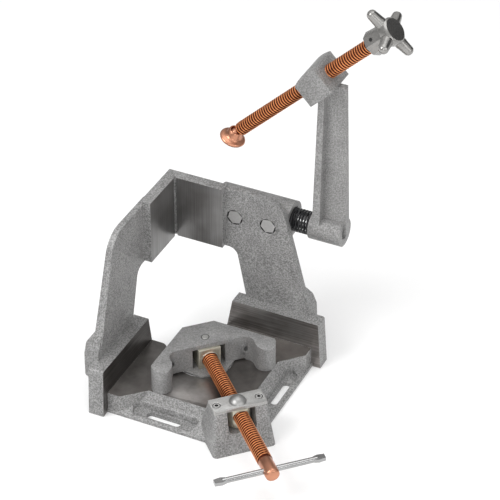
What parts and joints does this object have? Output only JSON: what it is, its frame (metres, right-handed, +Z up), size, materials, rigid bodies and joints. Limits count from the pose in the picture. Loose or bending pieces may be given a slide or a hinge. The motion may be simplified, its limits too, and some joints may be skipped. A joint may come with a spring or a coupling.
{
  "type": "corner clamp",
  "caption": "Welder's corner clamp with right-angled fixed jaws, a screw-fed moving jaw and a swinging third-axis screw arm that presses an upright tube into a raised head.",
  "frame": {"origin": "at table level, on the line where the faces of the two fixed jaws would meet", "axes": "+X along the right fixed jaw away from the corner, -Y along the left fixed jaw, +Z up"},
  "size_m": [0.3037, 0.3401, 0.4648],
  "materials": {
    "casting_paint": "hammertone paint",
    "jaw_paint": "smooth grey paint",
    "zinc": "zinc plated",
    "yellow_zinc": "yellow zinc plated",
    "copper_plate": "copper plated",
    "bright_steel": "bright plated",
    "black_steel": "black oxide"
  },
  "bodies": {
    "base": {"main_casting": "casting_paint", "nut_cover_plate": "zinc", "plate_screws": "zinc", "pivot_bracket": "casting_paint", "bracket_bolts": "bright_steel", "arm_spring": "black_steel"},
    "nut": {"swivel_nut": "yellow_zinc", "nut_rivet": "zinc"},
    "carriage": {"jaw_swivel_block": "yellow_zinc", "screw_retaining_ring": "bright_steel"},
    "screw": {"main_screw": "copper_plate"},
    "bar": {"tee_bar": "bright_steel"},
    "jaw": {"moving_jaw": "jaw_paint", "jaw_pivot_pin": "bright_steel"},
    "pin_end": {"end_washer": "zinc"},
    "arm": {"swing_arm": "casting_paint", "pivot_pin": "bright_steel", "hub_roll_pin": "black_steel", "pin_lock_nut": "zinc"},
    "feed": {"pad_snap_ring": "bright_steel"},
    "feed_screw": {"arm_screw": "copper_plate", "star_knob": "bright_steel", "knob_pin": "black_steel"},
    "pad": {"swivel_pad": "copper_plate"}
  },
  "joints": [
    {"name": "nut_swivel", "type": "hinge", "parent": "base", "child": "nut", "pos_m": [0.15182, -0.15182, 0.04], "axis": [0, 0, 1], "range_deg": [-3, 3]},
    {"name": "jaw_feed", "type": "slide", "parent": "nut", "child": "carriage", "axis": [-0.7071, 0.7071, 0], "range_m": [-0.058, 0.049]},
    {"name": "main_screw_turn", "type": "hinge", "parent": "carriage", "child": "screw", "pos_m": [0.15182, -0.15182, 0.04], "axis": [-0.7071, 0.7071, 0], "range_deg": [-6100, 5200]},
    {"name": "tee_bar_slide", "type": "slide", "parent": "screw", "child": "bar", "axis": [0.7071, 0.7071, 0], "range_m": [-0.04, 0.04]},
    {"name": "jaw_swivel", "type": "hinge", "parent": "carriage", "child": "jaw", "pos_m": [0.07283, -0.07283, 0.04], "axis": [0, 0, -1], "range_deg": [-3, 3]},
    {"name": "arm_push", "type": "slide", "parent": "base", "child": "pin_end", "axis": [1, 0, 0], "range_m": [-0.008, 0], "stiffness_N_per_m": 3000, "springref_m": 0.01, "deforming": ["arm_spring"]},
    {"name": "arm_swing", "type": "hinge", "parent": "pin_end", "child": "arm", "pos_m": [0.1, 0.036, 0.172], "axis": [1, 0, 0], "range_deg": [-80, 90]},
    {"name": "arm_screw_feed", "type": "slide", "parent": "arm", "child": "feed", "axis": [-0.7206, 0, -0.6934], "range_m": [-0.105, 0.05]},
    {"name": "arm_screw_turn", "type": "hinge", "parent": "feed", "child": "feed_screw", "pos_m": [0.157, 0.036, 0.3617], "axis": [-0.7206, 0, -0.6934], "range_deg": [-10900, 5200]},
    {"name": "pad_tilt", "type": "hinge", "parent": "feed", "child": "pad", "pos_m": [0.05828, 0.036, 0.2667], "axis": [0, 1, 0], "range_deg": [-6, 6]}
  ],
  "couplings": [
    {"joint": "main_screw_turn", "follows": "jaw_feed", "rad_per_m": 1795.2},
    {"joint": "arm_screw_turn", "follows": "arm_screw_feed", "rad_per_m": 1795.2}
  ]
}
